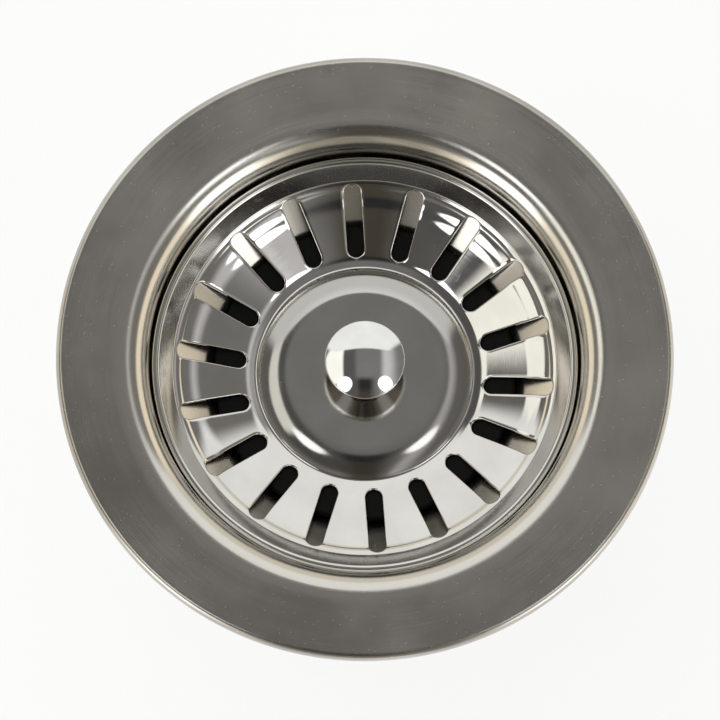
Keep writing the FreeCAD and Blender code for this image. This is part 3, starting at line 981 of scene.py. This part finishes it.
def bolt_steel():
    material, graph = new_material("bolt_steel")
    place = object_place(graph)
    radius, height, east, north = round_place(graph)
    patches = graph.noise(place, 180.0, 3.0)
    turning = graph.noise(graph.vector(east * 2, north * 2, (radius + height) * 12), 1.0, 2.0, 0.6)
    colour = graph.mix(patches.rise(0.3, 0.7), (0.52, 0.51, 0.49, 1), (0.62, 0.61, 0.59, 1))
    close_material(graph, {
        "Base Color": colour,
        "Metallic": 1.0,
        "Roughness": 0.26 + (turning - 0.5) * 0.2 + (patches - 0.5) * 0.1,
        "Normal": bump(graph, turning, 0.15, 0.0001),
    })
    return material


def turned_brass():
    material, graph = new_material("turned_brass")
    place = object_place(graph)
    radius, height, east, north = round_place(graph)
    tarnish = graph.noise(place, 220.0, 4.0, 0.6)
    turning = graph.noise(graph.vector(east * 2, north * 2, (radius + height) * 11), 1.0, 2.0, 0.6)
    colour = graph.mix(tarnish.rise(0.35, 0.75), (0.76, 0.58, 0.27, 1), (0.52, 0.36, 0.16, 1))
    close_material(graph, {
        "Base Color": colour,
        "Metallic": 1.0,
        "Roughness": 0.24 + tarnish * 0.16 + (turning - 0.5) * 0.18,
        "Normal": bump(graph, turning, 0.18, 0.0001),
    })
    return material


def white_moulding():
    """Moulded plastic with a fine grain, faint clouds and a little dust."""
    material, graph = new_material("white_moulding")
    place = object_place(graph)
    grain = graph.noise(place, 1500.0, 3.0, 0.6)
    clouds = graph.noise(place, 45.0, 2.0)
    dust = graph.noise(place, 300.0, 4.0, 0.7).rise(0.62, 0.8)
    colour = graph.mix(clouds.rise(0.3, 0.7), (0.76, 0.76, 0.74, 1), (0.82, 0.82, 0.805, 1))
    colour = graph.mix(dust * 0.25, colour, (0.68, 0.67, 0.63, 1))
    close_material(graph, {
        "Base Color": colour,
        "Roughness": 0.42 + (grain - 0.5) * 0.2 + dust * 0.12,
        "Normal": bump(graph, grain, 0.12, 0.0001),
    })
    return material


def rubber(name, dark, pale, roughness, shine):
    """Black rubber with a fine grain and a pale bloom."""
    material, graph = new_material(name)
    place = object_place(graph)
    grain = graph.noise(place, 2200.0, 3.0, 0.6)
    bloom = graph.noise(place, 160.0, 4.0, 0.65).rise(0.45, 0.8)
    colour = graph.mix(bloom * 0.6, (dark, dark, dark, 1), (pale, pale, pale * 1.02, 1))
    close_material(graph, {
        "Base Color": colour,
        "Roughness": roughness + (grain - 0.5) * 0.2 + bloom * 0.12,
        "Specular IOR Level": shine,
        "Normal": bump(graph, grain, 0.2, 0.0001),
    })
    return material


def cosine(degrees):
    return math.cos(math.radians(degrees))


def sine(degrees):
    return math.sin(math.radians(degrees))


def studio():
    """The room as the metal sees it: pale panels, two lamps, warm low walls and a dark near side."""
    world = bpy.data.worlds.new("studio")
    world.use_nodes = True
    bpy.context.scene.world = world
    graph = Graph(world.node_tree)
    way = graph.out(graph.node("ShaderNodeTexCoord"), "Generated")
    x, y, z = graph.parts(way)
    flat = graph.math("MAXIMUM", (x * x + y * y) ** 0.5, 1e-4)
    up = graph.math("MAXIMUM", z, 0.02)
    east = x / up
    north = y / up
    from_zenith = graph.math("ARCCOSINE", z) / math.radians(1)
    clutter = graph.noise(way, 9.0, 3.0)

    def sector(azimuth, half, soft):
        """1 within an angle of an azimuth, in degrees."""
        nearness = (x * cosine(azimuth) + y * sine(azimuth)) / flat
        return nearness.rise(cosine(half + soft), cosine(half - soft))

    light = graph.mix((-east).rise(0.1, 0.22), OVERHEAD, OVERHEAD_LEFT)
    light = graph.mix(from_zenith.rise(40, 50), light, MIDDLE_WALL)
    right = east.rise(0.25, 0.4) * (1 - east.rise(0.42, 0.74)) * (1 - from_zenith.rise(40, 55))
    light = graph.mix(right, light, RIGHT_PANEL)
    left = (-east).rise(0.38, 0.45) * (1 - from_zenith.rise(40, 43.5)) * sector(165, 38, 4)
    light = graph.mix(left, light, LEFT_PANEL)
    light = graph.mix(from_zenith.rise(61, 67), light, LOW_WALL)
    beside = sector(222, 11, 6) + sector(318, 11, 6)
    light = graph.mix(beside * from_zenith.rise(52, 57), light, LOW_WHITE)
    far = graph.mix(from_zenith.rise(60, 68), FAR_PANEL, FAR_LOW)
    light = graph.mix(north.rise(0.4, 0.45) * sector(94, 52, 4), light, far)
    low = from_zenith.rise(54, 62)
    dark = graph.mix(from_zenith.rise(17, 25), NEAR_SIDE, NEAR_MIDDLE)
    dark = graph.mix(low * (clutter.rise(0.35, 0.65) * 0.6 + 0.4), dark, NEAR_LOW)
    above = (1 - abs(x).rise(0.06, 0.25)) * (-y).rise(0.08, 0.2) * (1 - low)
    light = graph.mix(above + sector(270, 24, 8) * low, light, dark)
    for azimuth in LAMP_AZIMUTHS:
        aim = Vector((cosine(azimuth), sine(azimuth), 0)) * sine(LAMP_FROM_ZENITH)
        nearness = x * aim.x + y * aim.y + z * cosine(LAMP_FROM_ZENITH)
        lamp = nearness.rise(cosine(LAMP_HALF + LAMP_SOFT), cosine(LAMP_HALF - LAMP_SOFT))
        light = graph.mix(lamp, light, LAMP)
    background = graph.node("ShaderNodeBackground", (), {"Color": light, "Strength": 1.0})
    graph.node("ShaderNodeOutputWorld", (), {"Surface": graph.out(background)})


def soft_lamp():
    """A large soft lamp that lifts matt surfaces to a plain level and stays out of the reflections."""
    lamp = bpy.data.lights.new("soft_lamp", "AREA")
    lamp.shape = "DISK"
    lamp.size = 1.4
    lamp.energy = 6.0
    holder = bpy.data.objects.new("soft_lamp", lamp)
    holder.location = (-0.25, 0.2, 1.2)
    holder.rotation_euler = (-holder.location).to_track_quat("-Z", "Y").to_euler()
    holder.visible_glossy = False
    bpy.context.scene.collection.objects.link(holder)


def floor():
    """A pale floor just under the tail's end, white to the camera and in the metal, and clear from below."""
    reach = 6.0
    level = (TAIL_END - 0.2) * MM
    corners = [(x * reach, y * reach, level) for x, y in ((-1, -1), (1, -1), (1, 1), (-1, 1))]
    mesh = bpy.data.meshes.new("floor")
    mesh.from_pydata(corners, [], [(0, 1, 2, 3)])
    holder = bpy.data.objects.new("floor", mesh)
    bpy.context.scene.collection.objects.link(holder)
    material, graph = new_material("pale_floor")
    path = graph.node("ShaderNodeLightPath")
    seen = graph.math("MAXIMUM", graph.out(path, "Is Camera Ray"), graph.out(path, "Is Glossy Ray"))
    seen = graph.math("MAXIMUM", seen, graph.out(path, "Is Transmission Ray"))
    matt = graph.node("ShaderNodeBsdfDiffuse", (), {"Color": (0.9, 0.9, 0.9, 1)})
    white = graph.node("ShaderNodeEmission", (), {"Color": (1, 1, 1, 1), "Strength": 1.0})
    whiteness = seen * 0.85
    above = graph.node("ShaderNodeMixShader", (), {0: whiteness, 1: graph.out(matt), 2: graph.out(white)})
    clear = graph.node("ShaderNodeBsdfTransparent")
    from_below = graph.out(graph.node("ShaderNodeNewGeometry"), "Backfacing")
    both = graph.node("ShaderNodeMixShader", (), {0: from_below, 1: graph.out(above), 2: graph.out(clear)})
    graph.node("ShaderNodeOutputMaterial", (), {"Surface": graph.out(both)})
    mesh.materials.append(material)


def camera():
    """Nearly from above, so far off that the view has almost no perspective, as in the photograph."""
    elevation = math.radians(77.1)
    distance = 1.5
    towards = Vector((0, -math.cos(elevation), math.sin(elevation)))
    image_up = Vector((0, math.sin(elevation), math.cos(elevation)))
    flange_middle = Vector((0, 0, 1.6 * MM))
    flange_right = Vector((0.904 * MM, 0, 0))
    flange_up = image_up * (0.618 * MM)
    aim = flange_middle - flange_right - flange_up
    view = bpy.data.cameras.new("camera")
    view.lens = 406.6
    view.clip_end = 20.0
    holder = bpy.data.objects.new("camera", view)
    holder.location = aim + towards * distance
    holder.rotation_euler = (math.pi / 2 - elevation, 0, 0)
    bpy.context.scene.collection.objects.link(holder)
    bpy.context.scene.camera = holder


def place(node, piece, body, slot):
    """A finished piece rides on its body and stands for the solid of a node."""
    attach(piece, body)
    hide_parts(node)


bpy.context.scene.view_settings.view_transform = "Standard"
steel = satin_steel()
polish = polished_steel()
chrome = bright_chrome()
bolt = bolt_steel()
brass = turned_brass()
plastic = white_moulding()
gasket = rubber("gasket_rubber", dark=0.03, pale=0.055, roughness=0.62, shine=0.4)
seal = rubber("stopper_rubber", dark=0.004, pale=0.008, roughness=0.55, shine=0.08)

place("flange_cup", flange_cup(steel), "waste", "satin_steel")
place("flange_gasket", turned("flange_gasket_finish", FLANGE_GASKET, gasket), "waste", "gasket_rubber")
under_gasket = turned("under_sink_gasket_finish", UNDER_SINK_GASKET, gasket)
place("under_sink_gasket", under_gasket, "waste", "gasket_rubber")
place("outlet_body", outlet_body(plastic), "waste", "white_moulding")
place("brass_insert", turned("brass_insert_finish", BRASS_INSERT, brass), "waste", "turned_brass")
place("strainer_basket", strainer_basket(polish), "basket", "polished_steel")
place("knob", turned("knob_finish", KNOB, chrome), "basket", "bright_chrome")
place("stopper_seal", turned("stopper_seal_finish", STOPPER_SEAL, seal), "basket", "stopper_rubber")
place("seal_retainer", turned("seal_retainer_finish", SEAL_RETAINER, polish), "basket", "polished_steel")
place("stem", turned("stem_finish", STEM, brass), "basket", "turned_brass")
place("stem_o_ring", o_ring(seal), "basket", "stopper_rubber")
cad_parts["centre_bolt"].data.materials.clear()
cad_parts["centre_bolt"].data.materials.append(bolt)

studio()
soft_lamp()
floor()
camera()
